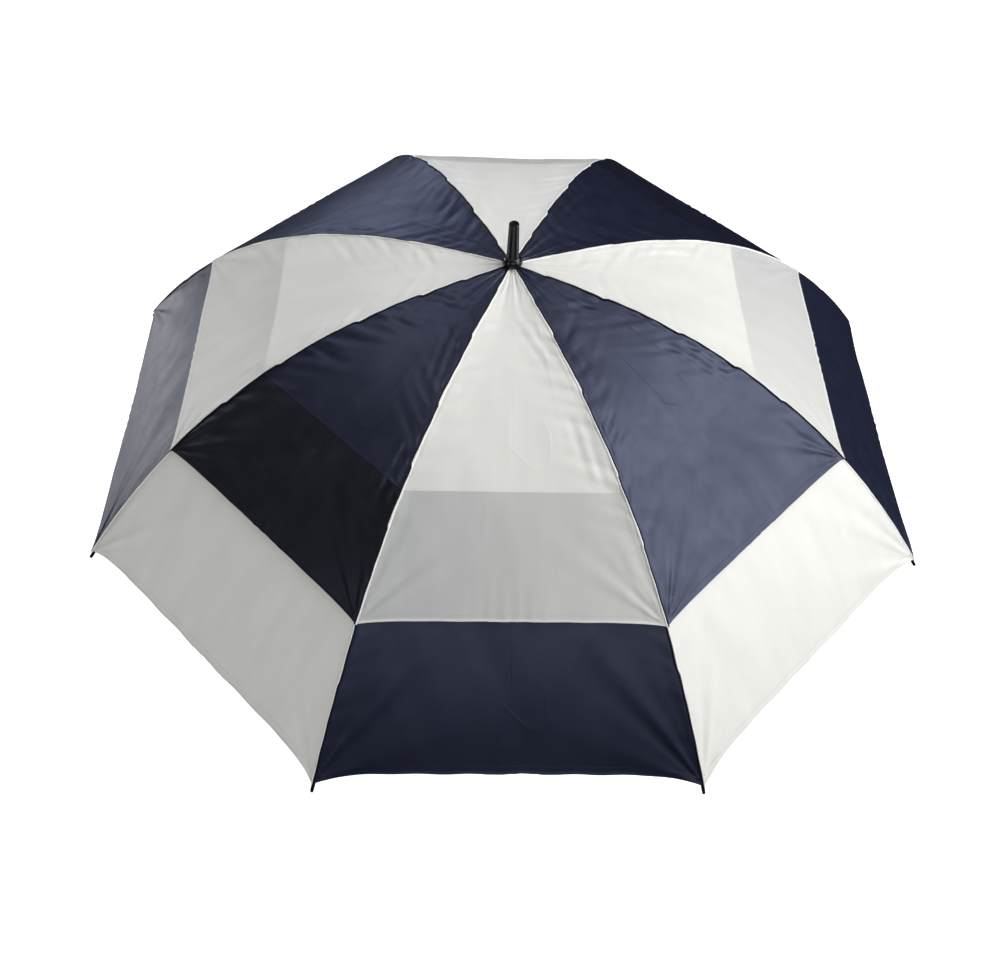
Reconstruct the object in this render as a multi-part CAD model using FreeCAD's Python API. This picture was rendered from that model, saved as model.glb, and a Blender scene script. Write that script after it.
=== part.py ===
import FreeCAD, Part
import math
import os

# Vented golf umbrella, shown open. Millimetres, +Z up along the shaft.
# The origin is the centre of the handle's bottom face, and -Y is the front.
# Rib 1 is the rib right of the front gore; the numbers run anticlockwise from above.
# Gore n lies between rib n and rib n + 1.

# Canopy
RIB_COUNT = 8
RIM_RADIUS = 640.0  # shaft axis to a corner of the canopy's rim
CROWN_Z = 925.0  # top of the fabric at the shaft
DROP_LINEAR = 0.06  # the rib line's drop, as fractions of the rim radius
DROP_POWER = 0.457
DROP_EXPONENT = 2.8
UPPER_HEM_RADIUS = 493.0
VENT_RADIUS = 355.0  # where the lower canopy starts, under the upper one
CROWN_HOLE_RADIUS = 9.6
CLOTH_THICKNESS = 0.8
CANOPY_SPACING = 1.8  # between the two cloths where they overlap
SEAM_GAP = 0.3  # between two neighbouring gores
RIM_SCALLOP = 8.0  # how far the rim curves in between two ribs

# Ribs
RIB_OFFSET = 5.8  # rib centre line below the upper cloth
INNER_ROD_RADIUS = 1.75
OUTER_ROD_RADIUS = 1.6
INNER_ROD_START = 27.0
INNER_ROD_END = 341.0
OUTER_ROD_START = 363.0
TIP_LENGTH_INSIDE = 20.0
TIP_LENGTH_OUTSIDE = 14.0
TIP_RADIUS = 2.8
TIP_END_RADIUS = 2.2

# Linkage pivots, as radius and height
HUB_PIVOT_RADIUS = 16.0
HUB_PIVOT_DROP = 8.0
BRACKET_PIVOT_RADIUS = 352.0
BRACKET_PIVOT_DROP = 84.0
RUNNER_PIVOT_DROP = 2 * BRACKET_PIVOT_DROP - HUB_PIVOT_DROP
HUB_PIN_RADIUS = 0.9
BRACKET_PIN_RADIUS = 1.5
PIN_CLEARANCE = 0.05
SLOT_HALF_WIDTH = 1.8
SLOT_DEPTH_RADIUS = 12.6
EYE_RADIUS = 2.3
EYE_HALF_WIDTH = 1.5

# Shaft, ferrule and handle
SHAFT_RADIUS = 7.0
SHAFT_BORE_RADIUS = 6.0
SHAFT_BOTTOM_Z = 8.0
SHAFT_TOP_Z = 938.0
FERRULE_TOP_Z = 993.0
FERRULE_BASE_RADIUS = 8.3
FERRULE_TOP_RADIUS = 6.7
CAP_RADIUS = 13.75
GRIP_RADIUS = 16.0
GRIP_BOTTOM_Z = 8.0
GRIP_TOP_Z = 128.0
COLLAR_TOP_Z = 184.0
COLLAR_TOP_RADIUS = 11.0
BUTTON_Z = 156.0
BUTTON_RADIUS = 5.5
BUTTON_FACE = 17.0  # distance of the button's face from the shaft axis
BUTTON_LENGTH = 5.6
BUTTON_TRAVEL = 3.0
RUNNER_CLEARANCE = 0.3
RUNNER_FLANGE_RADIUS = 20.0
RUNNER_SLEEVE_RADIUS = 10.5
RUNNER_LENGTH_BELOW = 40.0

HALF_GORE = math.pi / RIB_COUNT
Y_AXIS = FreeCAD.Vector(0, 1, 0)
Z_AXIS = FreeCAD.Vector(0, 0, 1)


def drop(radius):
    """How far the rib line has dropped below the crown at a radius."""
    share = radius / RIM_RADIUS
    return RIM_RADIUS * (DROP_LINEAR * share + DROP_POWER * share**DROP_EXPONENT)


def slope(radius):
    """Angle of the rib line below the horizontal, in radians."""
    share = radius / RIM_RADIUS
    return math.atan(DROP_LINEAR + DROP_POWER * DROP_EXPONENT * share ** (DROP_EXPONENT - 1))


def rib_point(radius, offset=None):
    """A point of the rib's centre line, in the plane y = 0."""
    if offset is None:
        near_hub = HUB_PIVOT_DROP - drop(HUB_PIVOT_RADIUS) - RIB_OFFSET
        offset = RIB_OFFSET + near_hub * math.exp(-(radius - HUB_PIVOT_RADIUS) / 40.0)
    angle = slope(radius)
    return FreeCAD.Vector(
        radius - offset * math.sin(angle), 0, CROWN_Z - drop(radius) - offset * math.cos(angle)
    )


HUB_PIVOT = FreeCAD.Vector(HUB_PIVOT_RADIUS, 0, CROWN_Z - HUB_PIVOT_DROP)
BRACKET_PIVOT = FreeCAD.Vector(BRACKET_PIVOT_RADIUS, 0, CROWN_Z - BRACKET_PIVOT_DROP)
RUNNER_PIVOT = FreeCAD.Vector(HUB_PIVOT_RADIUS, 0, CROWN_Z - RUNNER_PIVOT_DROP)


def upright_cylinder(radius, bottom, top, bore=0.0):
    body = Part.makeCylinder(radius, top - bottom, FreeCAD.Vector(0, 0, bottom))
    if bore:
        body = body.cut(Part.makeCylinder(bore, top - bottom + 2, FreeCAD.Vector(0, 0, bottom - 1)))
    return body


def cross_pin(centre, radius, half_length):
    """A cylinder along Y, centred on a pivot."""
    start = FreeCAD.Vector(centre.x, centre.y - half_length, centre.z)
    return Part.makeCylinder(radius, 2 * half_length, start, Y_AXIS)


def plate(start, end, half_height, y_low, y_high):
    """A flat bar with round ends between two points of the plane y = 0."""
    along = end.sub(start)
    length = along.Length
    along.normalize()
    angle = math.degrees(math.atan2(-along.z, along.x))
    bar = Part.makeBox(length, y_high - y_low, 2 * half_height, FreeCAD.Vector(0, y_low, -half_height))
    bar.rotate(FreeCAD.Vector(0, 0, 0), Y_AXIS, angle)
    bar.translate(start)
    for centre in (start, end):
        base = FreeCAD.Vector(centre.x, y_low, centre.z)
        bar = bar.fuse(Part.makeCylinder(half_height, y_high - y_low, base, Y_AXIS))
    return bar.removeSplitter()


def rod(radius, first, last, count):
    """A round rod along the rib's centre line."""
    points = [rib_point(first + (last - first) * i / (count - 1)) for i in range(count)]
    curve = Part.BSplineCurve()
    curve.interpolate(points)
    start, direction = curve.value(curve.FirstParameter), curve.tangent(curve.FirstParameter)[0]
    section = Part.Wire([Part.makeCircle(radius, start, direction)])
    return Part.Wire([curve.toShape()]).makePipeShell([section], True, False)


def sleeve(radius, first, last):
    """A straight sleeve round the rib's centre line."""
    start, end = rib_point(first), rib_point(last)
    return Part.makeCylinder(radius, end.sub(start).Length, start, end.sub(start))


def toward(start, end, distance):
    along = end.sub(start)
    along.normalize()
    return start.add(along.multiply(distance))


def at_rib(shape, number):
    """Turn a shape from the plane y = 0 to a numbered rib."""
    turned = shape.copy()
    turned.rotate(FreeCAD.Vector(0, 0, 0), Z_AXIS, -90 + 360.0 / RIB_COUNT * (number - 0.5))
    return turned


def at_gore(shape, number):
    turned = shape.copy()
    turned.rotate(FreeCAD.Vector(0, 0, 0), Z_AXIS, -90 + 360.0 / RIB_COUNT * number)
    return turned


def inner_rib():
    """Rod from the hub to the bracket, with its hub eye, its bracket and the rivet."""
    bar = rod(INNER_ROD_RADIUS, INNER_ROD_START, INNER_ROD_END, 14)
    eye = plate(HUB_PIVOT, rib_point(34.0), EYE_RADIUS, -EYE_HALF_WIDTH, EYE_HALF_WIDTH)
    eye = eye.fuse(sleeve(2.6, INNER_ROD_START, 42.0))
    eye = eye.cut(cross_pin(HUB_PIVOT, HUB_PIN_RADIUS + PIN_CLEARANCE, 10)).cut(bar)
    block = plate(rib_point(318.0), rib_point(339.0), 2.5, -4.2, 4.2)
    inside = plate(rib_point(341.0), BRACKET_PIVOT, 3.6, -3.0, 3.0)
    cheeks = plate(rib_point(334.0), BRACKET_PIVOT, 3.6, -4.2, 4.2)
    clear_corner = FreeCAD.Vector(rib_point(341.0).x + 0.4, -3.0, BRACKET_PIVOT.z - 20)
    clear_end = Part.makeBox(40, 6.0, 40, clear_corner)
    bracket = block.fuse(cheeks.cut(inside).cut(clear_end)).cut(bar)
    rivet = cross_pin(BRACKET_PIVOT, BRACKET_PIN_RADIUS, 6.4)
    bracket = bracket.cut(rivet)
    for side in (-1, 1):
        head_start = FreeCAD.Vector(BRACKET_PIVOT.x, 5.9 * side, BRACKET_PIVOT.z)
        rivet = rivet.fuse(Part.makeCylinder(2.8, 1.2, head_start, FreeCAD.Vector(0, side, 0)))
    return [bar, eye, bracket.removeSplitter(), rivet.removeSplitter()]


def outer_rib():
    """Rod from the bracket to the rim, with the eye that turns on the bracket's rivet."""
    bar = rod(OUTER_ROD_RADIUS, OUTER_ROD_START, RIM_RADIUS + 1.0, 14)
    eye = plate(BRACKET_PIVOT, rib_point(368.0), 2.7, -2.6, 2.6)
    eye = eye.fuse(sleeve(2.7, OUTER_ROD_START, 382.0))
    eye = eye.cut(cross_pin(BRACKET_PIVOT, BRACKET_PIN_RADIUS + PIN_CLEARANCE, 10)).cut(bar)
    return [bar, eye.removeSplitter()]


def rib_tip():
    """Plastic tip on the rod's end, which the cloth's corner is sewn to."""
    angle = slope(RIM_RADIUS)
    along = FreeCAD.Vector(math.cos(angle), 0, -math.sin(angle))
    corner = rib_point(RIM_RADIUS)
    start = corner.sub(FreeCAD.Vector(along).multiply(TIP_LENGTH_INSIDE))
    straight = TIP_LENGTH_INSIDE + TIP_LENGTH_OUTSIDE - TIP_END_RADIUS
    body = Part.makeCone(TIP_RADIUS, TIP_END_RADIUS, straight, start, along)
    ball_centre = start.add(FreeCAD.Vector(along).multiply(straight))
    body = body.fuse(Part.makeSphere(TIP_END_RADIUS, ball_centre))
    body = body.cut(Part.makeCylinder(OUTER_ROD_RADIUS + 0.2, TIP_LENGTH_INSIDE + 3.0, start, along))
    return [body]


def stretcher():
    """Channel bar from the runner to the bracket, with a fork at the bracket end."""
    length = BRACKET_PIVOT.sub(RUNNER_PIVOT).Length
    eye_end = toward(RUNNER_PIVOT, BRACKET_PIVOT, 14.0)
    eye = plate(RUNNER_PIVOT, eye_end, EYE_RADIUS, -EYE_HALF_WIDTH, EYE_HALF_WIDTH)
    bar = plate(
        toward(RUNNER_PIVOT, BRACKET_PIVOT, 11.0), toward(BRACKET_PIVOT, RUNNER_PIVOT, 40.0), 2.5, -2.2, 2.2
    )
    groove = Part.makeBox(length - 70.0, 2.4, 6.0, FreeCAD.Vector(20.0, -1.2, -7.0))
    angle = math.degrees(math.atan2(BRACKET_PIVOT.z - RUNNER_PIVOT.z, BRACKET_PIVOT.x - RUNNER_PIVOT.x))
    groove.rotate(FreeCAD.Vector(0, 0, 0), Y_AXIS, -angle)
    groove.translate(RUNNER_PIVOT)
    root_start = toward(BRACKET_PIVOT, RUNNER_PIVOT, 36.0)
    root = plate(root_start, toward(BRACKET_PIVOT, RUNNER_PIVOT, 42.0), 2.9, -5.6, 5.6)
    body = eye.fuse(bar.cut(groove)).fuse(root)
    for side in (-1, 1):
        low, high = sorted((4.6 * side, 5.6 * side))
        body = body.fuse(plate(toward(BRACKET_PIVOT, RUNNER_PIVOT, 38.0), BRACKET_PIVOT, 2.9, low, high))
    body = body.cut(cross_pin(RUNNER_PIVOT, HUB_PIN_RADIUS + PIN_CLEARANCE, 10))
    body = body.cut(cross_pin(BRACKET_PIVOT, BRACKET_PIN_RADIUS + PIN_CLEARANCE, 10))
    return [body.removeSplitter()]


def gore(inner_radius, outer_radius, depth, scallop):
    """One cloth gore, straight across from rib to rib, with a gap on both seam lines."""
    steps = 24
    shrink = math.cos(HALF_GORE)
    top, bottom = [], []
    for i in range(steps + 1):
        radius = inner_radius + (outer_radius - inner_radius) * i / steps
        angle = slope(radius)
        for line, offset in ((top, depth - CLOTH_THICKNESS / 2), (bottom, depth + CLOTH_THICKNESS / 2)):
            x = (radius - offset * math.sin(angle)) * shrink
            line.append(FreeCAD.Vector(x, 0, CROWN_Z - drop(radius) - offset * math.cos(angle)))
    upper_curve, lower_curve = Part.BSplineCurve(), Part.BSplineCurve()
    upper_curve.interpolate(top)
    lower_curve.interpolate(bottom)
    outline = Part.Wire(
        [
            upper_curve.toShape(),
            Part.makeLine(top[-1], bottom[-1]),
            lower_curve.toShape(),
            Part.makeLine(bottom[0], top[0]),
        ]
    )
    reach = outer_radius * math.sin(HALF_GORE) + 5.0
    band = Part.Face(outline).extrude(FreeCAD.Vector(0, 2 * reach, 0))
    band.translate(FreeCAD.Vector(0, -reach, 0))
    far = outer_radius + 20.0
    side = far * math.tan(HALF_GORE)
    back = SEAM_GAP / 2 / math.sin(HALF_GORE)
    corners = [(back, 0), (back + far, -side), (back + far, side), (back, 0)]
    wedge = Part.Face(Part.makePolygon([FreeCAD.Vector(x, y, 0) for x, y in corners]))
    cloth = band.common(wedge.extrude(FreeCAD.Vector(0, 0, CROWN_Z + 50)))
    if scallop:
        half_chord = outer_radius * math.sin(HALF_GORE)
        arc_radius = (half_chord**2 + scallop**2) / (2 * scallop)
        centre = FreeCAD.Vector(outer_radius * shrink - scallop + arc_radius, 0, 0)
        cloth = cloth.cut(Part.makeCylinder(arc_radius, CROWN_Z + 50, centre))
    return [cloth]


def hub_slots(body, pivot, low, high):
    """Cut the rib or stretcher slots in a hub, and the holes for their pins."""
    for number in range(1, RIB_COUNT + 1):
        corner = FreeCAD.Vector(SLOT_DEPTH_RADIUS, -SLOT_HALF_WIDTH, low)
        slot = Part.makeBox(20, 2 * SLOT_HALF_WIDTH, high - low, corner)
        body = body.cut(at_rib(slot, number))
        body = body.cut(at_rib(cross_pin(pivot, HUB_PIN_RADIUS, 4.6), number))
    return body


def top_notch():
    """Hub on the shaft's top, which the ribs hinge in; its slots open outward and down."""
    disc_bottom, disc_top = HUB_PIVOT.z - 6.4, HUB_PIVOT.z + 4.4
    body = upright_cylinder(20.0, disc_bottom, disc_top)
    body = body.fuse(upright_cylinder(10.5, disc_bottom - 14.0, disc_bottom))
    body = body.cut(upright_cylinder(SHAFT_RADIUS, 0, CROWN_Z))
    return [hub_slots(body, HUB_PIVOT, disc_bottom - 1, HUB_PIVOT.z + 2.8)]


def runner():
    """Sleeve that slides on the shaft and carries the stretchers; its slots open outward and up."""
    level = RUNNER_PIVOT.z
    foot = level - RUNNER_LENGTH_BELOW
    body = upright_cylinder(RUNNER_FLANGE_RADIUS, level - 7.0, level + 2.4)
    body = body.fuse(upright_cylinder(12.3, level + 2.4, level + 6.0))
    body = body.fuse(upright_cylinder(RUNNER_SLEEVE_RADIUS, foot, level - 7.0))
    body = body.fuse(Part.makeCone(14.0, RUNNER_SLEEVE_RADIUS, 6.0, FreeCAD.Vector(0, 0, foot)))
    body = body.cut(upright_cylinder(SHAFT_RADIUS + RUNNER_CLEARANCE, foot - 1, level + 10))
    return [hub_slots(body, RUNNER_PIVOT, level - 3.2, level + 10)]


def hub_pins(pivot):
    return [at_rib(cross_pin(pivot, HUB_PIN_RADIUS, 4.6), number) for number in range(1, RIB_COUNT + 1)]


def shaft():
    return [upright_cylinder(SHAFT_RADIUS, SHAFT_BOTTOM_Z, SHAFT_TOP_Z, SHAFT_BORE_RADIUS)]


def crown_cap():
    """Round cap over the crown hole, with shallow flutes under its edge."""
    base = CROWN_Z + 1.0
    half_height = (SHAFT_TOP_Z - base) / 2
    profile = [
        FreeCAD.Vector(SHAFT_RADIUS, 0, base),
        FreeCAD.Vector(CAP_RADIUS - 1.6, 0, base),
        FreeCAD.Vector(CAP_RADIUS, 0, base + 3.0),
        FreeCAD.Vector(CAP_RADIUS - 0.6, 0, base + half_height),
        FreeCAD.Vector(FERRULE_BASE_RADIUS + 1.2, 0, SHAFT_TOP_Z - 0.6),
        FreeCAD.Vector(FERRULE_BASE_RADIUS, 0, SHAFT_TOP_Z),
        FreeCAD.Vector(SHAFT_RADIUS, 0, SHAFT_TOP_Z),
    ]
    dome = Part.BSplineCurve()
    dome.interpolate(profile[1:6])
    outline = Part.Wire(
        [
            Part.makeLine(profile[0], profile[1]),
            dome.toShape(),
            Part.makeLine(profile[5], profile[6]),
            Part.makeLine(profile[6], profile[0]),
        ]
    )
    body = Part.Face(outline).revolve(FreeCAD.Vector(0, 0, 0), Z_AXIS, 360)
    for number in range(1, RIB_COUNT + 1):
        flute = Part.makeCylinder(0.9, 3.0, FreeCAD.Vector(CAP_RADIUS, 0, base - 1.0))
        body = body.cut(at_rib(flute, number))
    return [body]


def ferrule():
    """Tapered end piece above the canopy; its spigot fills the shaft's top end."""
    length = FERRULE_TOP_Z - SHAFT_TOP_Z
    foot = FreeCAD.Vector(0, 0, SHAFT_TOP_Z)
    body = Part.makeCone(FERRULE_BASE_RADIUS, FERRULE_TOP_RADIUS, length, foot)
    body = body.cut(upright_cylinder(4.6, FERRULE_TOP_Z - 1.5, FERRULE_TOP_Z + 1))
    rim = [edge for edge in body.Edges if abs(edge.BoundBox.ZMin - FERRULE_TOP_Z) < 0.01]
    body = body.makeFillet(0.8, rim)
    return [body.fuse(upright_cylinder(SHAFT_BORE_RADIUS, SHAFT_TOP_Z - 25.0, SHAFT_TOP_Z))]


def end_cap():
    """Plug under the grip, as wide as the grip, with a spigot up inside the shaft."""
    body = upright_cylinder(GRIP_RADIUS, 0, GRIP_BOTTOM_Z)
    spigot = upright_cylinder(SHAFT_BORE_RADIUS, GRIP_BOTTOM_Z, GRIP_BOTTOM_Z + 25.0)
    return [body.fuse(spigot)]


def foam_grip():
    """Straight foam sleeve on the shaft."""
    return [upright_cylinder(GRIP_RADIUS, GRIP_BOTTOM_Z, GRIP_TOP_Z, SHAFT_RADIUS)]


def button_cylinder(radius, inner_end, outer_end):
    """A cylinder along -Y at the button's height."""
    start = FreeCAD.Vector(0, -inner_end, BUTTON_Z)
    return Part.makeCylinder(radius, outer_end - inner_end, start, FreeCAD.Vector(0, -1, 0))


def handle_collar():
    """Tapered collar above the grip, with the button's well in its front."""
    height = COLLAR_TOP_Z - GRIP_TOP_Z
    body = Part.makeCone(GRIP_RADIUS - 0.3, COLLAR_TOP_RADIUS, height, FreeCAD.Vector(0, 0, GRIP_TOP_Z))
    body = body.fuse(button_cylinder(BUTTON_RADIUS + 1.8, 8.0, 14.6))
    body = body.cut(upright_cylinder(SHAFT_RADIUS, GRIP_TOP_Z - 1, COLLAR_TOP_Z + 1))
    well_floor = BUTTON_FACE - BUTTON_LENGTH - BUTTON_TRAVEL - 0.4
    return [body.cut(button_cylinder(BUTTON_RADIUS + 0.3, well_floor, 30.0))]


def push_button():
    body = button_cylinder(BUTTON_RADIUS, BUTTON_FACE - BUTTON_LENGTH, BUTTON_FACE)
    face_edge = [edge for edge in body.Edges if edge.BoundBox.YMax < -BUTTON_FACE + 0.01]
    return [body.makeFillet(0.8, face_edge)]


def save(name, solids):
    shape = solids[0] if len(solids) == 1 else Part.makeCompound(solids)
    shape.exportStep("parts/" + name + ".step")
    valid = shape.isValid() and all(solid.Volume > 0 for solid in shape.Solids)
    print(name, len(shape.Solids), "solids", round(shape.Volume), "mm3", "valid" if valid else "NOT VALID")


os.makedirs("parts", exist_ok=True)

save("shaft_tube", shaft())
save("ferrule", ferrule())
save("crown_cap", crown_cap())
save("top_notch", top_notch())
save("notch_pins", hub_pins(HUB_PIVOT))
save("runner", runner())
save("runner_pins", hub_pins(RUNNER_PIVOT))
save("end_cap", end_cap())
save("foam_grip", foam_grip())
save("handle_collar", handle_collar())
save("push_button", push_button())

rib_pieces = {
    "rib_inner": inner_rib(),
    "rib_outer": outer_rib(),
    "rib_tip": rib_tip(),
    "stretcher": stretcher(),
}
gore_pieces = {
    "upper_panel": gore(CROWN_HOLE_RADIUS, UPPER_HEM_RADIUS, 0.0, 0.0),
    "lower_panel": gore(VENT_RADIUS, RIM_RADIUS, CANOPY_SPACING, RIM_SCALLOP),
}
for rib_number in range(1, RIB_COUNT + 1):
    for piece_name, piece_solids in rib_pieces.items():
        save(piece_name + "_" + str(rib_number), [at_rib(s, rib_number) for s in piece_solids])
    for piece_name, piece_solids in gore_pieces.items():
        save(piece_name + "_" + str(rib_number), [at_gore(s, rib_number) for s in piece_solids])
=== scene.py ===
import math

import bpy
import numpy as np
from mathutils import Matrix, Vector


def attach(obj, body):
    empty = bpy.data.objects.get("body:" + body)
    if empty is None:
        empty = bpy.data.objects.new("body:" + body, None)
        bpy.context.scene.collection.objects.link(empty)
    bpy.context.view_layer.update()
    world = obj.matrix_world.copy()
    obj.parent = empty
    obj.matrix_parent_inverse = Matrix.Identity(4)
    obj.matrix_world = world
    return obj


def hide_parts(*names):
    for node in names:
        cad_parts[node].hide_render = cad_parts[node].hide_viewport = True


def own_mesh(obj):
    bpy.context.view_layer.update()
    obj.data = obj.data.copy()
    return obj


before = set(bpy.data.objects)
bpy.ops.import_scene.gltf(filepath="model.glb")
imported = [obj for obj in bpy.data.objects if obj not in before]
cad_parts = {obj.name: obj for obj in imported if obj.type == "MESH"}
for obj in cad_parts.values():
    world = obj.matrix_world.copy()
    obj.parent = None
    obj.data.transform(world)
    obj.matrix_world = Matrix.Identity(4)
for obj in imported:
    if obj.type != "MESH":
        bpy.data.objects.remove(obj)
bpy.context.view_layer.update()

# Vented golf umbrella, open. Metres, in the CAD model's frame: +Z up the shaft, -Y the front.
# Gore n lies between rib n and rib n + 1, and both run anticlockwise seen from above.
# Odd gores are navy above and white below, and even gores the other way round.

RIB_COUNT = 8
HALF_GORE = math.pi / RIB_COUNT
RIM_RADIUS = 0.640
CROWN_Z = 0.925
DROP_LINEAR = 0.06
DROP_POWER = 0.457
DROP_EXPONENT = 2.8
CROWN_HOLE = 0.0115
SEAM_START = 0.0125
BRACKET_RADIUS = 0.352
VENT_RADIUS = 0.3515
UPPER_HEM_RADIUS = 0.493
CANOPY_SPACING = 0.0018
HALF_COLUMNS = 44
INNER_CHORD = (0.016, BRACKET_RADIUS)  # radii where the inner and the outer ribs start and end
OUTER_CHORD = (BRACKET_RADIUS, RIM_RADIUS)
# When the umbrella is closed: the share of a half gore's width that is left, and how far its
# pleat leans outward, in degrees. The halves of a gore part along its middle as it closes.
FOLDED = {
    ("inner_rib", "a"): (0.24, 12.0),
    ("inner_rib", "b"): (0.15, 5.0),
    ("outer_rib", "a"): (0.20, 13.0),
    ("outer_rib", "b"): (0.055, 5.5),
}

MM = 0.001


def drop(radius):
    """How far the rib line has dropped below the crown."""
    share = radius / RIM_RADIUS
    return RIM_RADIUS * (DROP_LINEAR * share + DROP_POWER * share**DROP_EXPONENT)


def slope(radius):
    """Tangent of the rib line's angle below the horizontal."""
    share = radius / RIM_RADIUS
    return DROP_LINEAR + DROP_POWER * DROP_EXPONENT * share ** (DROP_EXPONENT - 1)


def rib_angle(rib):
    """The direction of a rib round the shaft."""
    return math.radians(-90 + 360 / RIB_COUNT * (rib - 0.5))


def gore_angle(gore):
    """The direction of the middle of a gore."""
    return math.radians(-90 + 360 / RIB_COUNT * gore)


def directions(angle):
    """Unit vectors outward and anticlockwise at an angle round the shaft."""
    outward = np.array([math.cos(angle), math.sin(angle), 0.0])
    return outward, np.array([-outward[1], outward[0], 0.0])


def is_navy(gore, upper):
    """Whether a gore of the upper or the lower layer is navy."""
    return (gore % 2 == 1) == upper


# Materials ---------------------------------------------------------------------------------


class Shader:
    """A material's node tree, with one call per kind of node."""

    def __init__(self, name):
        self.material = bpy.data.materials.new(name)
        self.material.use_nodes = True
        self.nodes = self.material.node_tree.nodes
        self.links = self.material.node_tree.links
        self.nodes.clear()
        self.output = self.nodes.new("ShaderNodeOutputMaterial")

    def add(self, kind, inputs=None, **settings):
        node = self.nodes.new(kind)
        for key, value in settings.items():
            setattr(node, key, value)
        for key, value in (inputs or {}).items():
            if isinstance(value, bpy.types.NodeSocket):
                self.links.new(value, node.inputs[key])
            else:
                node.inputs[key].default_value = value
        return node

    def math(self, operation, first, second=0.0, third=0.0):
        values = {0: first, 1: second}
        if operation in ("MULTIPLY_ADD", "COMPARE"):
            values[2] = third
        return self.add("ShaderNodeMath", values, operation=operation).outputs[0]

    def attribute(self, name):
        return self.add("ShaderNodeAttribute", attribute_name=name).outputs["Fac"]

    def mix(self, share, first, second):
        node = self.add("ShaderNodeMix", data_type="RGBA")
        for key, value in ((0, share), (6, first), (7, second)):
            if isinstance(value, bpy.types.NodeSocket):
                self.links.new(value, node.inputs[key])
            else:
                node.inputs[key].default_value = value
        return node.outputs[2]

    def ramp(self, value, low, high, to_low=0.0, to_high=1.0, smooth=True):
        kind = "SMOOTHSTEP" if smooth else "LINEAR"
        node = self.add(
            "ShaderNodeMapRange",
            {"From Min": low, "From Max": high, "To Min": to_low, "To Max": to_high},
            interpolation_type=kind,
        )
        self.links.new(value, node.inputs["Value"])
        return node.outputs["Result"]

    def noise(self, vector, scale, detail=2.0, roughness=0.5):
        return self.add(
            "ShaderNodeTexNoise",
            {"Vector": vector, "Scale": scale, "Detail": detail, "Roughness": roughness},
        ).outputs["Fac"]

    def bands(self, vector, scale, direction):
        return self.add(
            "ShaderNodeTexWave",
            {"Vector": vector, "Scale": scale, "Distortion": 0.0},
            wave_type="BANDS",
            bands_direction=direction,
        ).outputs["Fac"]

    def bump(self, height, strength, distance):
        inputs = {"Height": height, "Strength": strength, "Distance": distance}
        return self.add("ShaderNodeBump", inputs).outputs[0]

    def finish(self, surface):
        self.links.new(surface, self.output.inputs["Surface"])
        return self.material


def colour(red, green, blue):
    return (red, green, blue, 1.0)


# Details of the cloth's material.
WEAVE_SCALE = 420.0
STITCH_LENGTH = 1.7 * MM  # of a stitch, and also of the gap between two of them
STITCH_LINE = 6.4 * MM  # from the hem's edge
STITCH_WIDTH = 0.32 * MM
PRESSED_WIDTH = 0.9 * MM
BUMP_HEIGHT = 0.9 * MM
COAT_ROUGHNESS = 0.12


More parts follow.
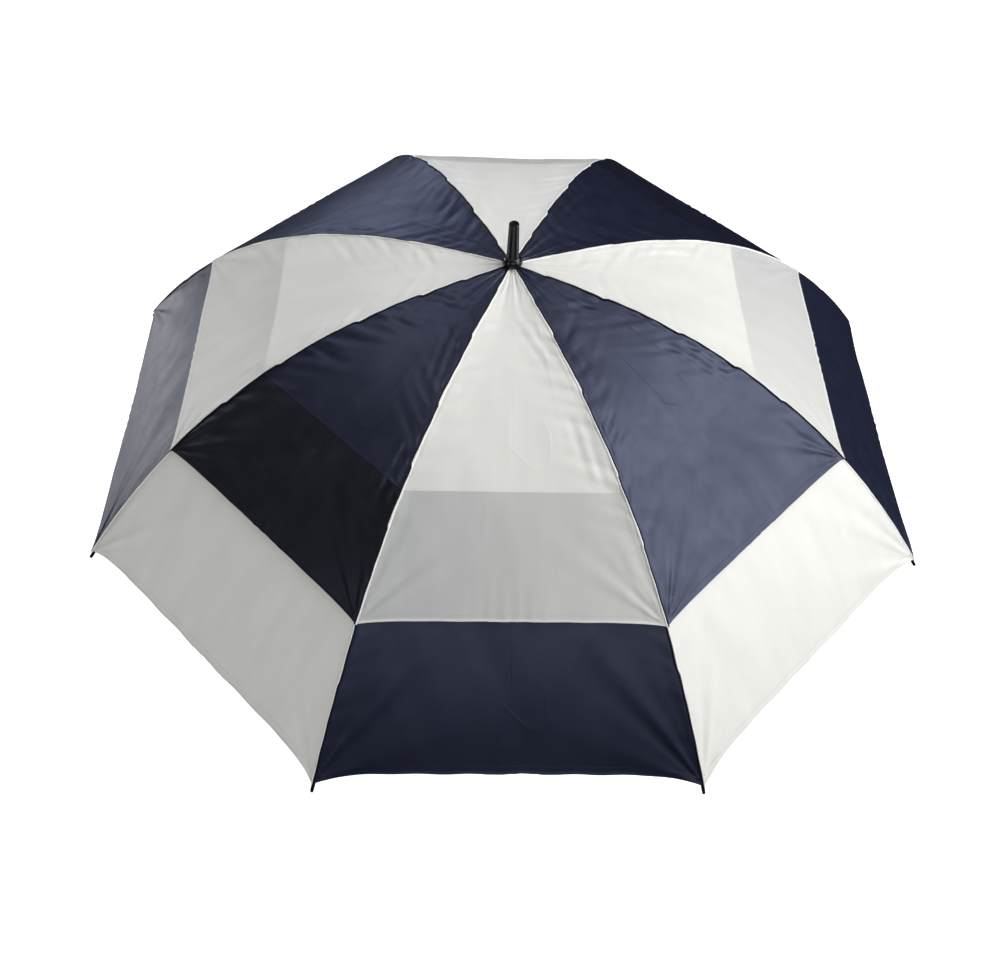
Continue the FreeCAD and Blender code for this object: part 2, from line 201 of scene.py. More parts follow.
def cloth_material(
    name, base, double_shade, thread, hem_highlight, roughness, specular, specular_tint, see_through
):
    """Thin coated cloth: plain weave, faint crinkles, a stitched hem, painted shade where it is double,
    and a painted highlight on the hem's rolled edge.
    """
    s = Shader(name)
    place = s.add("ShaderNodeUVMap", uv_map="cut").outputs["UV"]
    across = s.add("ShaderNodeSeparateXYZ", {"Vector": place}).outputs["X"]
    weave = s.math("MULTIPLY", s.bands(place, WEAVE_SCALE, "X"), s.bands(place, WEAVE_SCALE, "Y"))
    crinkle = s.noise(place, 34.0, 4.0, 0.62)
    stretched = s.add("ShaderNodeMapping", {"Vector": place, "Scale": (14.0, 3.0, 1.0)}).outputs[0]
    streaks = s.noise(stretched, 2.2, 3.0, 0.55)
    # the stitches of the hem
    dash = s.ramp(s.math("PINGPONG", across, STITCH_LENGTH), 0.45 * MM, 0.65 * MM)
    on_line = s.math("COMPARE", s.attribute("from_hem"), STITCH_LINE, STITCH_WIDTH)
    stitch = s.math("MULTIPLY", dash, on_line)
    # the colour: the cloth's own, painted shade where it is double, the stitches, and a painted
    # highlight on the hem's rolled edge
    tone = s.math("MULTIPLY_ADD", streaks, 0.16, 0.92)
    # painted shade: the colour darkens where the cloth is double
    shade = s.mix(s.ramp(s.attribute("painted_shade"), 0.0, 1.0, smooth=False), base, double_shade)
    shade = s.add("ShaderNodeHueSaturation", {"Color": shade, "Value": tone}).outputs[0]
    shade = s.mix(stitch, shade, thread)
    # painted highlight: the hem's rolled edge is real geometry, and it is also drawn lighter for the
    # light it catches
    shade = s.mix(s.attribute("hem_highlight"), shade, hem_highlight)
    # thin creases, here and there
    ridge_noise = s.noise(place, 11.0, 0.0, 0.5)
    off_ridge = s.math("ABSOLUTE", s.math("MULTIPLY_ADD", ridge_noise, 2.0, -1.0))
    ridge = s.math("POWER", s.math("SUBTRACT", 1.0, off_ridge), 30.0)
    ridge = s.math("MULTIPLY", ridge, s.ramp(s.noise(place, 5.3, 1.0, 0.5), 0.52, 0.62))
    # the crease that was pressed along the middle of the gore
    wander = s.math("MULTIPLY_ADD", s.noise(stretched, 0.8, 1.0, 0.4), 0.012, -0.006)
    off_middle = s.math("ABSOLUTE", s.math("ADD", across, wander))
    pressed = s.ramp(off_middle, 0.0, PRESSED_WIDTH, 1.0, 0.0)
    pressed = s.math("MULTIPLY", pressed, s.ramp(s.noise(place, 7.0, 1.0, 0.5), 0.47, 0.60))
    # all of the relief together, as shares of the bump's height
    height = s.math("MULTIPLY", weave, 0.04)
    layers = ((crinkle, 0.42), (pressed, 0.32), (streaks, 0.3), (ridge, 0.75), (stitch, 0.5))
    for layer, share in layers:
        height = s.math("MULTIPLY_ADD", layer, share, height)
    bump = s.bump(height, 0.5, BUMP_HEIGHT)
    gloss = s.ramp(crinkle, 0.3, 0.7, roughness - 0.04, roughness + 0.05, smooth=False)
    body = s.add(
        "ShaderNodeBsdfPrincipled",
        {
            "Base Color": shade,
            "Roughness": gloss,
            "Specular IOR Level": specular,
            "Specular Tint": specular_tint,
            "Normal": bump,
        },
    ).outputs[0]
    through = s.add("ShaderNodeBsdfTranslucent", {"Color": shade, "Normal": bump}).outputs[0]
    mixed = s.add("ShaderNodeMixShader", {0: see_through, 1: body, 2: through}).outputs[0]
    return s.finish(mixed)


def hard_material(name, base, roughness, metallic=0.0, grain=900.0, depth=0.02, coat=0.0):
    """Moulded plastic, painted or bright metal, with soft smudges and a fine grain of a depth in
    millimetres."""
    s = Shader(name)
    place = s.add("ShaderNodeTexCoord").outputs["Object"]
    fine = s.noise(place, grain, 3.0, 0.6)
    smudge = s.noise(place, 35.0, 3.0, 0.55)
    worn = colour(*(1.25 * level for level in base[:3]))
    shade = s.mix(s.ramp(smudge, 0.35, 0.7), base, worn)
    gloss = s.ramp(smudge, 0.3, 0.7, roughness - 0.04, roughness + 0.06, smooth=False)
    bump = s.bump(fine, 0.35, depth * MM)
    body = s.add(
        "ShaderNodeBsdfPrincipled",
        {
            "Base Color": shade,
            "Roughness": gloss,
            "Metallic": metallic,
            "Coat Weight": coat,
            "Coat Roughness": COAT_ROUGHNESS,
            "Normal": bump,
        },
    ).outputs[0]
    return s.finish(body)


NAVY = cloth_material(
    "navy_cloth",
    base=colour(0.0088, 0.0104, 0.0265),
    # the colour of the painted shade where the cloth is double
    double_shade=colour(0.0035, 0.0034, 0.0052),
    thread=colour(0.006, 0.007, 0.016),
    hem_highlight=colour(0.70, 0.70, 0.68),
    roughness=0.42,
    specular=0.8,
    specular_tint=colour(0.64, 0.70, 1.0),
    see_through=0.10,
)
WHITE = cloth_material(
    "white_cloth",
    base=colour(0.78, 0.78, 0.745),
    # the colour of the painted shade where the cloth is double
    double_shade=colour(0.64, 0.65, 0.645),
    thread=colour(0.62, 0.62, 0.60),
    # the colour of the painted highlight on the hem's rolled edge
    hem_highlight=colour(0.86, 0.86, 0.84),
    roughness=0.42,
    specular=0.5,
    specular_tint=colour(1.0, 1.0, 1.0),
    see_through=0.14,
)
BLACK_PIPING = cloth_material(
    "black_piping",
    base=colour(0.0035, 0.0038, 0.0065),
    double_shade=colour(0.0035, 0.0038, 0.0065),
    thread=colour(0.003, 0.003, 0.004),
    hem_highlight=colour(0.003, 0.003, 0.004),
    roughness=0.6,
    specular=0.3,
    specular_tint=colour(0.8, 0.85, 1.0),
    see_through=0.0,
)
WHITE_PIPING = cloth_material(
    "white_piping",
    base=colour(0.93, 0.93, 0.91),
    double_shade=colour(0.93, 0.93, 0.91),
    thread=colour(0.85, 0.85, 0.83),
    hem_highlight=colour(0.85, 0.85, 0.83),
    roughness=0.5,
    specular=0.5,
    specular_tint=colour(1.0, 1.0, 1.0),
    see_through=0.0,
)
BLACK_PLASTIC = hard_material("gloss_black_plastic", colour(0.006, 0.006, 0.0065), 0.26, depth=0.008)
HUB_PLASTIC = hard_material("moulded_nylon", colour(0.015, 0.015, 0.016), 0.48, depth=0.03)
FOAM = hard_material("grip_foam", colour(0.018, 0.018, 0.019), 0.85, grain=1500.0, depth=0.25)
BUTTON_PLASTIC = hard_material("button_plastic", colour(0.16, 0.165, 0.175), 0.4, depth=0.01)
ROD = hard_material("glass_fibre_rod", colour(0.010, 0.010, 0.011), 0.34, grain=700.0, depth=0.02)
PAINTED_STEEL = hard_material(
    "black_painted_steel", colour(0.012, 0.012, 0.013), 0.3, depth=0.01, coat=0.4
)
BRIGHT_STEEL = hard_material("bright_steel", colour(0.55, 0.55, 0.56), 0.28, metallic=1.0, depth=0.01)

# Canopy ------------------------------------------------------------------------------------

# Painted shade where an upper gore lies over the lower layer, on top of the light that the lower layer
# really keeps from coming through: its strength at the gore's first rib and at its second one. The
# values were set one by one, and real gores would all be alike.
PAINTED_SHADE_STRENGTH = {
    1: (0.0, 0.0),
    2: (0.0, 1.0),
    3: (0.3, 0.3),
    4: (0.2, 0.2),
    5: (0.2, 0.2),
    6: (0.0, 0.0),
    7: (1.0, 1.0),
    8: (1.1, 0.1),
}
ROW_STEP = 0.0036
VENT_RIDGE = ((-1.6, 0.0), (-0.3, 0.22), (0.3, 0.22), (1.6, 0.0))  # offset and height, in millimetres
VENT_RIDGE_GAP = 0.0025
TIE_RADII = (0.058, 0.136, 0.226, 0.318, 0.402, 0.545)  # where the cloth is stitched to a rib
TIE_WANDER = 0.012
CLOTH_TIE_REACH = (0.030, 0.012)  # toward the crown and toward the rim
SEAM_TIE_REACH = (0.055, 0.006)
UPPER_SCALLOP = 0.0030  # how far the hem curves in between two ribs
LOWER_SCALLOP = 0.0085
# The painted highlight along the rolled edge of the white upper hems: its width and its blur.
HEM_HIGHLIGHT_WIDTH = 0.0020
HEM_HIGHLIGHT_BLUR = 0.0004
# the blur at the edge of the painted shade where the cloth is double
COVER_BLUR = 0.0006
HEM_WIDTH = 8.0  # in millimetres, and so are the thicknesses of its edge
UPPER_HEM_THICKNESS = 0.9
LOWER_HEM_THICKNESS = 0.8

# The folds of the cloth, in metres. A wave is its length and its height.
UPPER_HANG = 0.0055
LOWER_HANG = 0.0035
LONG_WAVES = ((0.21, 0.0007), (0.13, 0.0003), (0.071, 0.00016))
CROSS_WAVES = ((0.26, 0.0007), (0.11, 0.0003), (0.057, 0.00014))
SEAM_WAVES = ((0.043, 0.0005), (0.026, 0.0004))
FINE_SEAM_WAVES = ((0.021, 0.00035), (0.013, 0.0002))
HEM_WAVES = ((0.017, 0.0007), (0.011, 0.0004))
FINGER_SPACING = 0.033
FINGER_DEPTH = 0.0014
LONG_FOLD_SPACING = 0.019
LONG_FOLD_HEIGHT = 0.0006
ALLOWANCE_WIDTH = 0.0095
ALLOWANCE_STEP = 0.0035
ALLOWANCE_HEIGHT = 0.0006
FLAT_AT_SEAM = 0.004
TIE_DEPTH = 0.0013
TIE_WIDTH = 0.013
UPPER_FAN_HEIGHT = 0.0011
LOWER_FAN_HEIGHT = 0.0023
GATHER_RADIUS = 0.13
CREASE_PLACES = (0.02, 0.47, -0.36)
CREASE_HEIGHT = 0.0005
CREASE_WIDTH = 0.0018


def ease(share):
    """Ease a share between 0 and 1 in and out."""
    return share * share * (3 - 2 * share)


def spread(count):
    """Shares from -1 to 1 across a gore, closer together near the ribs."""
    even = np.linspace(-1, 1, 2 * count + 1)
    return 0.55 * even + 0.45 * np.sin(even * math.pi / 2)


def ripple(value, seed, waves):
    """A sum of sines whose phases come from the seed."""
    total = np.zeros_like(value)
    for index, (length, size) in enumerate(waves):
        phase = math.fmod(math.sin(seed * 12.9898 + index * 78.233) * 43758.5453, 1.0) * 2 * math.pi
        total = total + size * np.sin(2 * math.pi * value / length + phase)
    return total


def tie_pull(radius, rib, reaches):
    """How hard the nearest stitch pulls, from 0 to 1, with its reach toward the crown and the rim."""
    pull = np.zeros_like(radius)
    for index, tie in enumerate(TIE_RADII):
        place = tie + TIE_WANDER * math.sin(2.1 * rib + 1.7 * index)
        reach = np.where(radius < place, *reaches)
        pull = np.maximum(pull, np.clip(1 - np.abs(radius - place) / reach, 0, 1))
    return pull


def fingers(radius, edge, seed):
    """Short dents side by side along a seam, which run in from it. Each has its own size."""
    place = (radius + 0.2 * edge) / FINGER_SPACING + 0.37 * seed
    place = place + 0.15 * np.sin(radius * 61.0 + seed)
    dent = (0.5 + 0.5 * np.cos(2 * math.pi * place)) ** 2
    size = 0.6 + 0.4 * np.sin(np.floor(place + 0.5) * 2.4 + seed)
    return dent * size * np.exp(-(((edge - 0.026) / 0.021) ** 2))


def long_folds(radius, edge, seed):
    """Folds that run beside a seam and fade in and out."""
    place = (edge + 0.006 * np.sin(radius * 23.0 + seed)) / LONG_FOLD_SPACING
    seen = np.clip(np.sin(radius * 38.0 + seed * 1.7) + 0.45, 0, 1)
    return np.sin(2 * math.pi * place) * seen * np.exp(-(((edge - 0.022) / 0.017) ** 2))


def hang(upper, along, across):
    """How far the cloth is drawn in between the ribs, which is nothing at its edges."""
    depth = UPPER_HANG if upper else LOWER_HANG
    return depth * np.sin(math.pi * along**0.8) ** 1.2 * (1 - across**2)


def broad_waves(radius, sideways, across, along, seed):
    """Broad soft waves, which fade toward the seams and the hem."""
    diagonal = radius * 0.8 + sideways * 0.7
    other = radius * 0.5 - sideways
    fade = (1 - across**4) * (1 - 0.7 * along**6)
    return fade * (ripple(diagonal, seed, LONG_WAVES) + ripple(other, seed + 7, CROSS_WAVES))


def seam_folds(radius, edge, seed, side):
    """Folds beside a seam: short ones that run in from it, longer ones along it, and slanting ones."""
    # there are none at the crown, and they are weak near the hem
    strength = np.clip((radius - 0.07) / 0.05, 0, 1)
    strength = (1 - 0.75 * np.clip((radius - 0.34) / 0.12, 0, 1)) * strength
    height = -FINGER_DEPTH * (0.62 - 0.38 * side) * fingers(radius, edge, seed * 3 + side)
    height += LONG_FOLD_HEIGHT * (0.62 + 0.38 * side) * long_folds(radius, edge, seed + side)
    slant = radius + (0.55 + 0.25 * math.sin(seed * 1.3)) * edge
    height += ripple(slant, seed * 3 + side, SEAM_WAVES) * np.exp(-((edge / 0.042) ** 1.5))
    fine = ripple(radius + 0.3 * edge, seed * 5 + side, FINE_SEAM_WAVES) * np.exp(-edge / 0.014)
    return strength * height + fine


def seam_allowance(radius, edge, seed, side):
    """The doubled edge of the cloth under a seam, which shows more in some places than in others."""
    shown = 0.65 + 0.35 * np.sin(radius * 27.0 + seed + side)
    return ALLOWANCE_HEIGHT * shown * ease(np.clip((ALLOWANCE_WIDTH - edge) / ALLOWANCE_STEP, 0, 1))


def corner_fan(upper, edge, below, seed):
    """Folds that fan out from the corner where the hem meets the rib."""
    size = UPPER_FAN_HEIGHT if upper else LOWER_FAN_HEIGHT
    reach = np.sqrt(edge**2 + below**2)
    turn = np.arctan2(below, edge + 1e-6)
    fan = np.sin(11 * turn + seed * 1.7) + 0.5 * np.sin(19 * turn + seed)
    return size * fan * np.exp(-reach / 0.075) * (1 - np.exp(-reach / 0.02))


def crown_gathers(radius, across, seed):
    """Soft gathers under the crown cap."""
    near = np.clip(1 - radius / GATHER_RADIUS, 0, 1)
    waves = 0.0008 * np.sin(across * 9 + seed) + 0.0004 * np.sin(across * 17 + seed * 2.3)
    return near * waves * (1 - across**2)


def hem_gathers(sideways, below, seed):
    """Short gathers in the middle of the hem."""
    middle = np.exp(-((sideways / 0.05) ** 2))
    return ripple(sideways, seed + 3, HEM_WAVES) * middle * np.exp(-below / 0.022)


def creases(radius, across, half_width, seed):
    """Long creases that the folded cloth keeps."""
    height = np.zeros_like(radius)
    for index, place in enumerate(CREASE_PLACES):
        offset = (across - place) * half_width + 0.02 * math.sin(seed * 2.7 + index)
        seen = np.clip(np.sin(radius * 17.0 + seed * 1.9 + index * 2.4), 0, 1)
        height += CREASE_HEIGHT * seen * np.exp(-np.abs(offset) / CREASE_WIDTH)
    near_edge = np.clip((np.abs(across) - 0.9) / 0.1, 0, 1)
    return height * (1 - near_edge)


def relief(gore, upper, radius, across, hem_radius):
    """How far the cloth stands off the straight gore. Its folds go flat just beside the seams."""
    half_width = radius * math.sin(HALF_GORE)
    sideways = across * half_width
    below = hem_radius - radius
    seed = gore + (0 if upper else 20)
    inner_radius = CROWN_HOLE if upper else VENT_RADIUS
    along = np.clip((radius - inner_radius) / (hem_radius - inner_radius), 0, 1)
    height = broad_waves(radius, sideways, across, along, seed) - hang(upper, along, across)
    for side in (-1, 1):
        rib = gore if side < 0 else gore % RIB_COUNT + 1
        edge = (1 - side * across) * half_width
        folds = seam_folds(radius, edge, seed, side)
        folds += seam_allowance(radius, edge, seed, side)
        folds += corner_fan(upper, edge, below, seed)
        height += folds * (1 - np.exp(-edge / FLAT_AT_SEAM))
        height -= TIE_DEPTH * tie_pull(radius, rib, CLOTH_TIE_REACH) ** 2 * np.exp(-edge / TIE_WIDTH)
    if upper:
        height += crown_gathers(radius, across, seed)
    height += hem_gathers(sideways, below, seed)
    height += creases(radius, across, half_width, seed)
    return height


def rim_rise(across, depth):
    """How far the hem curves in between the ribs: flat in the middle and steep at the corners."""
    return depth * (1 - np.abs(across) ** 7) * (1 + 0.05 * np.sin(across * 23) * (1 - across**2))


def hem_rows(thickness):
    """The hem's rows, in millimetres: how far in from the edge, and how high. The last two are the
    turned edge underneath."""
    return (
        (HEM_WIDTH, 0.0),
        (7.0, 0.0),
        (6.6, 0.14),
        (6.4, 0.05),
        (6.2, 0.14),
        (3.5, 0.16),
        (1.6, 0.25),
        (0.9, thickness),
        (0.3, thickness),
        (0.0, 0.2),
        (0.3, -0.7),
        (1.2, -0.9),
    )


def body_rows(upper, body_end):
    """The radii of a gore's rows outside its hem, and how high each row stands."""
    first = CROWN_HOLE if upper else VENT_RADIUS
    count = int(round((body_end - first) / ROW_STEP))
    rows = [(first + (body_end - first) * index / count, 0.0) for index in range(count)]
    if upper:
        # the lower cloth's edge shows through as a fine ridge, which has rows of its own
        rows = [row for row in rows if abs(row[0] - VENT_RADIUS) > VENT_RIDGE_GAP]
        rows += [(VENT_RADIUS + offset * MM, rise * MM) for offset, rise in VENT_RIDGE]
        rows.sort()
    return rows


def row_places(upper, hem_radius, edge_radius):
    """The radius and the height of every point of a gore before its folds."""
    body_end = hem_radius - HEM_WIDTH * MM
    radii = []
    heights = []
    for fixed, rise in body_rows(upper, body_end):
        # toward the hem, the rows take on its curve
        share = max(0.0, (fixed - VENT_RADIUS) / (body_end - VENT_RADIUS))
        radii.append(fixed - (hem_radius - edge_radius) * share)
        heights.append(rise)
    for from_edge, rise in hem_rows(UPPER_HEM_THICKNESS if upper else LOWER_HEM_THICKNESS):
        radii.append(edge_radius - from_edge * MM)
        heights.append(rise * MM)
    return np.array(radii), np.array(heights)[:, None]


def cloth_height(gore, upper, radius, across, hem_radius):
    """The folds of a gore. A lower gore stays below the upper gore that covers it."""
    lift = relief(gore, upper, radius, across, hem_radius)
    if not upper:
        above = relief(gore, True, np.minimum(radius, UPPER_HEM_RADIUS), across, UPPER_HEM_RADIUS)
        beyond = np.clip((radius - UPPER_HEM_RADIUS) / 0.04, 0, 1)
        lift -= np.maximum(lift - above, 0) * (1 - ease(beyond))
        lift -= CANOPY_SPACING
    return lift


def gore_grid(gore, upper):
    """Points, normals and measures of a whole gore, as rows outward and columns across."""
    columns = spread(HALF_COLUMNS)
    hem_radius = UPPER_HEM_RADIUS if upper else RIM_RADIUS
    scallop = UPPER_SCALLOP if upper else LOWER_SCALLOP
    edge_radius = hem_radius - rim_rise(columns, scallop) / math.cos(HALF_GORE)
    radius, rise = row_places(upper, hem_radius, edge_radius)
    across = np.broadcast_to(columns, radius.shape)
    lift = cloth_height(gore, upper, radius, across, hem_radius) + rise
    tilt = np.arctan(slope(radius) / math.cos(HALF_GORE))
    outward, sideways = directions(gore_angle(gore))
    middle = radius * math.cos(HALF_GORE) + lift * np.sin(tilt)
    side = across * radius * math.sin(HALF_GORE)
    points = middle[..., None] * outward + side[..., None] * sideways
    points[..., 2] = CROWN_Z - drop(radius) + lift * np.cos(tilt)
    normals = np.cross(np.gradient(points, axis=0), np.gradient(points, axis=1))
    normals /= np.linalg.norm(normals, axis=2, keepdims=True)
    steps = np.linalg.norm(np.diff(points[:, HALF_COLUMNS], axis=0), axis=1)
    arc = np.concatenate([[0], np.cumsum(steps)])
    from_hem = edge_radius - radius
    hem_highlight = np.zeros_like(radius)
    doubled = np.zeros_like(radius)
    if upper:
        doubled = np.clip((radius - VENT_RADIUS) / COVER_BLUR + 0.5, 0, 1)
        # a painted highlight along the hem's rolled edge, on the white upper gores only
        if not is_navy(gore, upper):
            hem_highlight = np.clip((HEM_HIGHLIGHT_WIDTH - from_hem) / HEM_HIGHLIGHT_BLUR, 0, 1)
    measures = {
        "radius": radius,
        "cut": np.stack([side, np.broadcast_to(arc[:, None], side.shape)], axis=2),
        "from_hem": from_hem,
        "hem_highlight": hem_highlight,
        # painted shade where the gore is double, and none on the painted hem highlight
        "painted_shade": doubled * np.interp(columns, (-1, 1), PAINTED_SHADE_STRENGTH[gore]) * (1 - hem_highlight),
    }
    return points, normals, measures


def grid_mesh(name, points, normals, cut, fields, material):
    """A mesh of quads from a grid of points."""
    row_count, column_count = points.shape[:2]
    index = np.arange(row_count * column_count).reshape(row_count, column_count)
    corners = [index[:-1, :-1], index[1:, :-1], index[1:, 1:], index[:-1, 1:]]
    quads = np.stack(corners, axis=2).reshape(-1, 4)
    mesh = bpy.data.meshes.new(name)
    mesh.from_pydata(points.reshape(-1, 3).tolist(), [], quads.tolist())
    layer = mesh.uv_layers.new(name="cut")
    layer.data.foreach_set("uv", cut.reshape(-1, 2)[quads.reshape(-1)].astype(np.float32).ravel())
    for key, values in fields.items():
        attribute = mesh.attributes.new(key, "FLOAT", "POINT")
        attribute.data.foreach_set("value", values.astype(np.float32).ravel())
    mesh.polygons.foreach_set("use_smooth", [True] * len(mesh.polygons))
    mesh.materials.append(material)
    if normals is not None:
        mesh.normals_split_custom_set_from_vertices(normals.reshape(-1, 3).tolist())
    mesh.update()
    piece = bpy.data.objects.new(name, mesh)
    bpy.context.scene.collection.objects.link(piece)
    return piece


def fold_direction(rib, side, start, end, lean):
    """The direction that a half gore gathers along: square to the rib's chord, and leaning a little
    out of the half gore, so that the gathered cloth stands outside the rib."""
    outward, sideways = directions(rib_angle(rib))
    chord = (end - start) * outward + np.array([0, 0, drop(start) - drop(end)])
    chord /= np.linalg.norm(chord)
    spread_way = side * sideways * math.cos(HALF_GORE) - outward * math.sin(HALF_GORE)
    gather = spread_way - spread_way.dot(chord) * chord
    gather /= np.linalg.norm(gather)
    above = side * np.cross(chord, gather)
    return math.cos(math.radians(lean)) * gather - math.sin(math.radians(lean)) * above


def half_gore(name, gore, side, body, grid, rows, chord, replaced):
    """One half of a gore, from its rib to the middle, attached to its rib in place of the CAD panel."""
    points, normals, measures = grid
    columns = slice(0, HALF_COLUMNS + 1) if side < 0 else slice(HALF_COLUMNS, None)
    take = (rows, columns)
    upper = name.startswith("upper")
    piece = grid_mesh(
        name,
        points[take],
        normals[take],
        measures["cut"][take],
        {key: measures[key][take] for key in ("from_hem", "painted_shade", "hem_highlight")},
        NAVY if is_navy(gore, upper) else WHITE,
    )
    rib = gore if side < 0 else gore % RIB_COUNT + 1
    start, end = chord
    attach(piece, body + "_" + str(rib))
    width_left, lean = FOLDED[body, name[-1]]
    fold_direction(rib, -side, start, end, lean)
    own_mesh(piece)
    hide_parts(replaced)


def make_canopy():
    """The gores of both layers, each in halves. An upper gore is divided at the rib joint too."""
    for gore in range(1, RIB_COUNT + 1):
        upper_grid = gore_grid(gore, True)
        lower_grid = gore_grid(gore, False)
        rib_line = upper_grid[2]["radius"][:, 0]
        joint_row = int(np.argmin(np.abs(rib_line - BRACKET_RADIUS)))
        pieces = (
            ("upper_inner_cloth_", "inner_rib", upper_grid, slice(0, joint_row + 1), INNER_CHORD),
            ("upper_outer_cloth_", "outer_rib", upper_grid, slice(joint_row, None), OUTER_CHORD),
        )
        for side, word in ((-1, "a"), (1, "b")):
            label = str(gore) + word
            for name, body, grid, rows, chord in pieces:
                panel = "upper_panel_" + str(gore)
                half_gore(name + label, gore, side, body, grid, rows, chord, panel)
        for side, word in ((-1, "a"), (1, "b")):
            name = "lower_cloth_" + str(gore) + word
            panel = "lower_panel_" + str(gore)
            half_gore(name, gore, side, "outer_rib", lower_grid, slice(None), OUTER_CHORD, panel)


# The seam's section: sideways toward the white gore and height above the cloth, in millimetres,
# and how much of the seam's sway that point takes.
BLACK_BEAD = (
    (-2.3, -0.5, 1.0),
    (-2.0, 0.25, 1.0),
    (-1.5, 0.75, 1.0),
    (-0.9, 1.0, 1.0),
    (-0.3, 0.85, 1.0),
    (0.1, 0.4, 1.0),
)
WHITE_BEAD = (
    (0.1, 0.4, 1.0),
    (0.4, 1.0, 1.0),
    (0.8, 1.25, 1.0),
    (1.2, 1.2, 0.8),
    (1.6, 0.8, 0.5),
    (1.85, -0.5, 0.25),
)


SEAM_STEP = 0.0015
SEAM_PAST_HEM = 0.0004
LOWER_SEAM_UNDER_HEM = 0.015
SEAM_DENT = 0.0009
UPPER_SWAY = 0.0022  # how far a tie draws the seam to one side
LOWER_SWAY = 0.0009
SEAM_WANDER = 0.0002


def seam(name, rib, upper, body, first_radius, last_radius):
    """The sewn seam over a rib: a black bead and a narrower white bead side by side."""
    outward, sideways = directions(rib_angle(rib))
    toward_white = -1.0 if is_navy(rib, upper) else 1.0
    depth = 0.0 if upper else CANOPY_SPACING
    count = int((last_radius - first_radius) / SEAM_STEP)
    radius = np.linspace(first_radius, last_radius, count + 1)
    tilt = np.arctan(slope(radius))
    pull = tie_pull(radius, rib, SEAM_TIE_REACH)
    rise = 1.0
    if not upper:
        # flat and still where the upper hem lies over it
        pull = pull * np.clip((radius - UPPER_HEM_RADIUS) / 0.01, 0, 1)
        rise = np.clip((radius - UPPER_HEM_RADIUS + 0.004) / 0.006, 0.2, 1)
    dent = SEAM_DENT * pull**4
    reach = (UPPER_SWAY if upper else LOWER_SWAY) * np.clip(radius / 0.13, 0.45, 1)
    sway = -toward_white * reach * pull + SEAM_WANDER * np.sin(radius * 210.0 + rib)
    beads = []
    for section, material in ((BLACK_BEAD, BLACK_PIPING), (WHITE_BEAD, WHITE_PIPING)):
        points = np.empty((len(radius), len(section), 3))
        for column, (offset, height, share) in enumerate(section):
            level = height * MM * rise - depth - dent
            out = radius + level * np.sin(tilt)
            sideway = toward_white * offset * MM + sway * share
            points[:, column] = out[:, None] * outward + sideway[:, None] * sideways
            points[:, column, 2] = CROWN_Z - drop(radius) + level * np.cos(tilt)
        if toward_white < 0:
            points = points[:, ::-1]
        arc = np.broadcast_to(radius[:, None], points.shape[:2])
        flat = np.broadcast_to(np.arange(points.shape[1]) * MM, points.shape[:2])
        far = np.ones(points.shape[:2])
        bead = grid_mesh(
            name + "_" + material.name,
            points,
            None,
            np.stack([flat, arc], axis=2),
            {"from_hem": far, "painted_shade": 0 * far, "hem_highlight": 0 * far},
            material,
        )
        beads.append(bead)
    whole = join(beads, name)
    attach(whole, body + "_" + str(rib))


def join(pieces, name):
    """Join meshes into one object that keeps each one's material."""
    bpy.ops.object.select_all(action="DESELECT")
    for piece in pieces:
        piece.select_set(True)
    bpy.context.view_layer.objects.active = pieces[0]
    bpy.ops.object.join()
    whole = bpy.context.view_layer.objects.active
    whole.name = name
    return whole


def make_seams():
    """The seams over every rib: two lengths on the upper layer and one on the lower layer."""
    upper_end = UPPER_HEM_RADIUS + SEAM_PAST_HEM
    lower_start = UPPER_HEM_RADIUS - LOWER_SEAM_UNDER_HEM
    lower_end = RIM_RADIUS + SEAM_PAST_HEM
    for rib in range(1, RIB_COUNT + 1):
        label = str(rib)
        seam("seam_upper_inner_" + label, rib, True, "inner_rib", SEAM_START, BRACKET_RADIUS)
        seam("seam_upper_outer_" + label, rib, True, "outer_rib", BRACKET_RADIUS, upper_end)
        seam("seam_lower_" + label, rib, False, "outer_rib", lower_start, lower_end)


# Hard pieces -------------------------------------------------------------------------------


def dress(node, material):
    """Give a CAD node its material."""
    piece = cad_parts[node]
    piece.data.materials.clear()
    piece.data.materials.append(material)


def dress_frame():
    """The materials of all the hard pieces."""
    finishes = {
        "ferrule": BLACK_PLASTIC,
        "crown_cap": BLACK_PLASTIC,
        "handle_collar": BLACK_PLASTIC,
        "push_button": BUTTON_PLASTIC,
        "shaft_tube": PAINTED_STEEL,
        "top_notch": HUB_PLASTIC,
        "runner": HUB_PLASTIC,
        "notch_pins": BRIGHT_STEEL,
        "runner_pins": BRIGHT_STEEL,
        "end_cap": HUB_PLASTIC,
        "foam_grip": FOAM,
    }
    for node, material in finishes.items():
        dress(node, material)
    for rib in range(1, RIB_COUNT + 1):
        dress("rib_inner_" + str(rib), ROD)
        dress("rib_outer_" + str(rib), ROD)
        dress("rib_tip_" + str(rib), BLACK_PLASTIC)
        dress("stretcher_" + str(rib), PAINTED_STEEL)


# Floor, light and camera -------------------------------------------------------------------

FLOOR_REACH = 9.0
FLOOR_LEVEL = -0.001
LIGHT_AIM = (0.0, 0.0, 0.78)  # inside the canopy
NEUTRAL = (1.0, 1.0, 1.0)
COOL = (0.70, 0.76, 1.0)

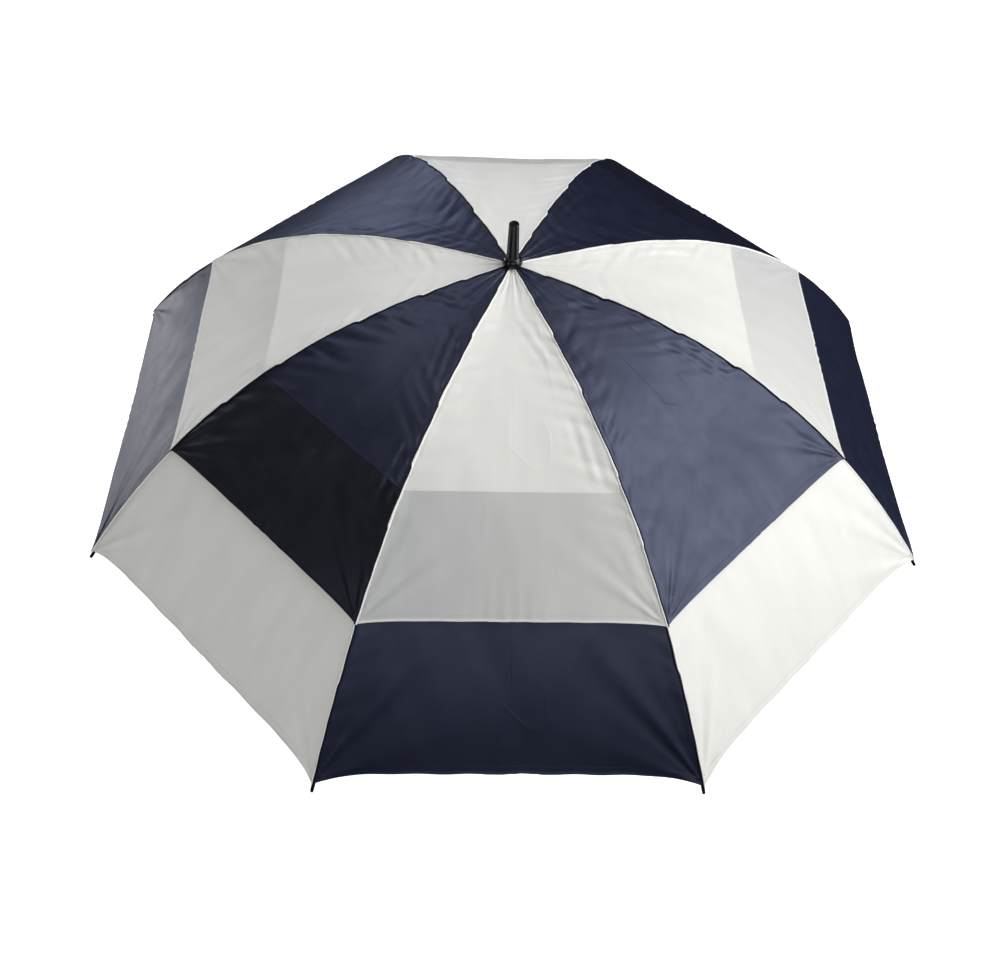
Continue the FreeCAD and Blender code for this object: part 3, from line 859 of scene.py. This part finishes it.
# Each soft box: the direction it shines from, its distance, its size, its power and its colour.
# Directions, powers and colours were set one by one, each for the gloss of one or two gores.
SOFT_BOXES = {
    "top": ((0.02, 0.13, 0.99), 2.4, (1.6, 1.6), 6.5, NEUTRAL),
    "left_high": ((-0.28, 0.36, 0.89), 2.4, (0.9, 0.9), 4.8, NEUTRAL),
    "right_high": ((0.64, 0.06, 0.75), 2.5, (1.6, 1.5), 39.0, NEUTRAL),
    "right_low": ((0.90, -0.27, 0.35), 2.6, (1.2, 1.2), 25.5, NEUTRAL),
    "back_right": ((0.28, 0.52, 0.81), 2.5, (0.9, 0.9), 3.6, NEUTRAL),
    "back_left_low": ((-0.86, 0.40, -0.31), 2.0, (1.3, 0.3), 4.6, NEUTRAL),
    "back_left": ((-0.28, 0.935, 0.20), 2.6, (1.2, 1.2), 8.6, COOL),
    "left_back": ((-0.85, 0.45, 0.22), 2.6, (1.0, 1.0), 16.0, NEUTRAL),
    "front": ((0.15, -0.84, 0.52), 2.6, (1.6, 1.2), 8.8, NEUTRAL),
    "left_front": ((-0.70, -0.62, 0.35), 2.6, (1.2, 1.2), 5.5, NEUTRAL),
}

# The camera turns left of the front and looks down, in degrees. Its aim is measured from the
# middle of the rim.
CAMERA_TURN = -2.21
CAMERA_PITCH = 52.03
CAMERA_ROLL = -2.41
CAMERA_AIM = (-0.0045, 0.0, -0.1338)
CAMERA_DISTANCE = 2.948 * RIM_RADIUS
CAMERA_LENS = 40.96


def area_light(name, toward, distance, size, power, tint):
    """A soft box that shines at the canopy from a direction."""
    lamp = bpy.data.lights.new(name, "AREA")
    lamp.shape = "RECTANGLE"
    lamp.size, lamp.size_y = size
    lamp.energy = power
    lamp.color = tint
    holder = bpy.data.objects.new(name, lamp)
    direction = Vector(toward).normalized()
    holder.location = Vector(LIGHT_AIM) + direction * distance
    holder.rotation_euler = direction.to_track_quat("Z", "Y").to_euler()
    holder.visible_camera = False
    bpy.context.scene.collection.objects.link(holder)


def make_floor():
    """A white floor that lights the canopy from below, and is clear when seen from underneath."""
    s = Shader("floor")
    body = s.add(
        "ShaderNodeBsdfPrincipled",
        {
            "Base Color": colour(0.9, 0.9, 0.9),
            "Roughness": 0.9,
            "Specular IOR Level": 0.0,
            "Emission Color": colour(1.0, 1.0, 1.0),
            "Emission Strength": 0.8,
        },
    ).outputs[0]
    clear = s.add("ShaderNodeBsdfTransparent").outputs[0]
    underneath = s.add("ShaderNodeNewGeometry").outputs["Backfacing"]
    mixed = s.add("ShaderNodeMixShader", {0: underneath, 1: body, 2: clear}).outputs[0]
    material = s.finish(mixed)
    mesh = bpy.data.meshes.new("floor")
    turns = ((-1, -1), (1, -1), (1, 1), (-1, 1))
    corners = [(FLOOR_REACH * x, FLOOR_REACH * y, FLOOR_LEVEL) for x, y in turns]
    mesh.from_pydata(corners, [], [(0, 1, 2, 3)])
    mesh.materials.append(material)
    floor = bpy.data.objects.new("floor", mesh)
    bpy.context.scene.collection.objects.link(floor)
    floor.visible_glossy = False


def make_light():
    """A plain bright background that only the camera sees, and the soft boxes."""
    world = bpy.data.worlds.new("studio")
    world.use_nodes = True
    world.cycles_visibility.glossy = False
    world.cycles_visibility.diffuse = False
    background = world.node_tree.nodes["Background"]
    background.inputs["Color"].default_value = (1.0, 1.0, 1.0, 1.0)
    background.inputs["Strength"].default_value = 0.95
    bpy.context.scene.world = world
    for name, (toward, distance, size, power, tint) in SOFT_BOXES.items():
        area_light(name, toward, distance, size, power, tint)


def make_camera():
    """The camera looks down at the front of the umbrella, turned a little to the left."""
    turn = math.radians(CAMERA_TURN)
    pitch = math.radians(CAMERA_PITCH)
    roll = math.radians(CAMERA_ROLL)
    forward = Vector((0, math.cos(pitch), -math.sin(pitch)))
    up = Vector((0, math.sin(pitch), math.cos(pitch)))
    right = Vector((1, 0, 0))
    middle_of_rim = Vector((0, 0, CROWN_Z - drop(RIM_RADIUS)))
    place = middle_of_rim + Vector(CAMERA_AIM) - forward * CAMERA_DISTANCE
    rolled_right = right * math.cos(roll) - up * math.sin(roll)
    rolled_up = right * math.sin(roll) + up * math.cos(roll)
    spin = Matrix.Rotation(turn, 4, "Z")
    basis = Matrix((rolled_right, rolled_up, -forward)).transposed().to_4x4()
    lens = bpy.data.cameras.new("camera")
    lens.sensor_width = 36.0
    lens.lens = CAMERA_LENS
    lens.clip_start = 0.01
    camera = bpy.data.objects.new("camera", lens)
    camera.matrix_world = spin @ Matrix.Translation(place) @ basis
    bpy.context.scene.collection.objects.link(camera)
    bpy.context.scene.camera = camera


bpy.context.scene.view_settings.view_transform = "Standard"
make_canopy()
make_seams()
dress_frame()
make_floor()
make_light()
make_camera()
